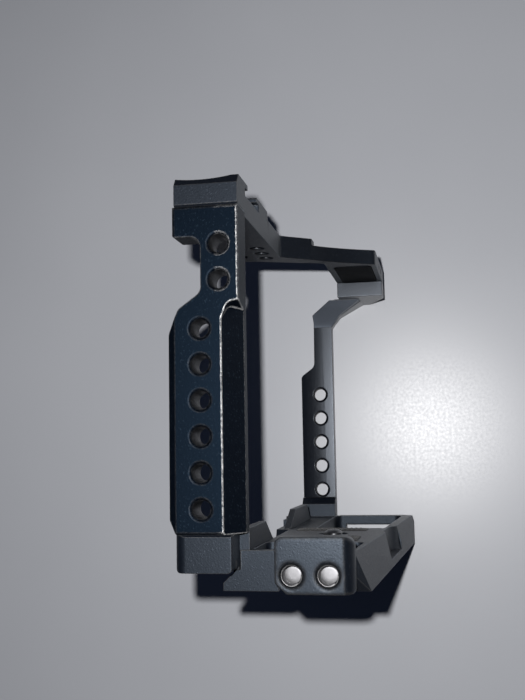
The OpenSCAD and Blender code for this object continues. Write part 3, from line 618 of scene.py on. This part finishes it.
def insert_faces():
    """The turned ends that shine deep in the block's inserts."""
    for k, y in enumerate(INSERT_Y):
        bm = bmesh.new()
        lathe(bm, frame_along(row(INSERT_END, y, INSERT_Z), (-1, 0, 0)),
              [(2.56, -0.03), (2.56, 0.0), (2.3, 0.1), (1.2, 0.13), (0, 0.14)])
        piece = new_piece("insert_face_%d" % (k + 1), bm, TURNED, "frame", 50)


insert_faces()


# ---- Stage: the cage lies on its right side on a pale table --------------------

def table():
    """The pale table that the cage's right side lies on: it shows from the front only,
    so that the cage can also be looked at from behind the table."""
    s = Shader("table")
    grain = s.noise(1.1, detail=3)
    cloud = s.noise(90, detail=2)
    s.link(s.ramp(cloud, [(0.3, (0.50, 0.515, 0.55)), (0.7, (0.53, 0.545, 0.58))]),
           s.bsdf.inputs["Base Color"])
    s.link(s.ramp(grain, [(0.3, 0.3), (0.7, 0.355)]), s.bsdf.inputs["Roughness"])
    s.set(IOR=1.45)
    s.bump(grain, 0.01, 0.25)
    clear = s.add("ShaderNodeBsdfTransparent")
    pick = s.add("ShaderNodeMixShader")
    s.link(s.add("ShaderNodeNewGeometry").outputs["Backfacing"], pick.inputs[0])
    s.link(s.bsdf.outputs[0], pick.inputs[1])
    s.link(clear.outputs[0], pick.inputs[2])
    s.link(pick.outputs[0], s.out.inputs[0])
    gap, reach = 0.15, 2.2
    x = (CAGE_L / 2 + gap) * MM
    mesh = bpy.data.meshes.new("table")
    mesh.from_pydata([(x, -reach, -reach), (x, -reach, reach), (x, reach, reach), (x, reach, -reach)],
                     [], [(0, 1, 2, 3)])
    mesh.materials.append(s.mat)
    obj = bpy.data.objects.new("table", mesh)
    bpy.context.scene.collection.objects.link(obj)
    obj.visible_shadow = False


table()


def lamp(name, kind, place, energy, size, colour=(1, 1, 1)):
    """A lamp that points at the middle of the cage. Energy is in watts, size in metres."""
    middle = Vector((0, 0, 0.055))
    data = bpy.data.lights.new(name, kind)
    data.energy = energy
    data.color = colour
    if kind == "AREA":
        data.shape = "DISK"
        data.size = size
    else:
        data.shadow_soft_size = size
    obj = bpy.data.objects.new(name, data)
    obj.location = place
    obj.rotation_mode = "QUATERNION"
    obj.rotation_quaternion = (middle - Vector(place)).to_track_quat("-Z", "Y")
    bpy.context.scene.collection.objects.link(obj)


lamp("flash", "POINT", row(*FLASH), 4.5, 0.003, (1.0, 0.99, 0.985))
lamp("fill_right", "AREA", (0.85, 0.35, 0.45), 3.5, 0.6)
lamp("fill_rear_right", "AREA", (0.6, -0.75, 0.5), 3.5, 0.6)


def room():
    """A dim bluish room, lighter above and in front of the cage than behind it."""
    lit_side = (-0.35, 0.75, 0.56)
    levels = {"From Min": -0.3, "From Max": 0.8, "To Min": 0.004, "To Max": 0.042}
    world = bpy.data.worlds.new("room")
    bpy.context.scene.world = world
    world.use_nodes = True
    tree = world.node_tree
    background = tree.nodes["Background"]
    background.inputs[0].default_value = (0.42, 0.56, 1.0, 1)
    way = tree.nodes.new("ShaderNodeTexCoord")
    side = tree.nodes.new("ShaderNodeVectorMath")
    side.operation = "DOT_PRODUCT"
    side.inputs[1].default_value = lit_side
    level = tree.nodes.new("ShaderNodeMapRange")
    for key, value in levels.items():
        level.inputs[key].default_value = value
    tree.links.new(way.outputs["Generated"], side.inputs[0])
    tree.links.new(side.outputs["Value"], level.inputs["Value"])
    tree.links.new(level.outputs[0], background.inputs[1])


room()


# ---- Camera: solved from the photo's vanishing points ---------------------------

def camera():
    """The photo's camera: the ways of its axes, its place and its focal length."""
    right = Vector((0.18960, -0.98172, -0.01687))
    down = Vector((0.10033, 0.03646, -0.99429))
    forward = Vector((0.97672, 0.18682, 0.10541))
    focal_px, long_side_px, sensor_mm = 950, 700, 36
    data = bpy.data.cameras.new("camera")
    data.sensor_width = sensor_mm
    data.lens = focal_px / long_side_px * sensor_mm
    data.clip_start = 0.01
    obj = bpy.data.objects.new("camera", data)
    turn = Matrix((right, -down, -forward)).transposed().to_4x4()
    obj.matrix_world = Matrix.Translation(row(*CAMERA)) @ turn
    bpy.context.scene.collection.objects.link(obj)
    bpy.context.scene.camera = obj
    bpy.context.scene.view_settings.view_transform = "Standard"


camera()
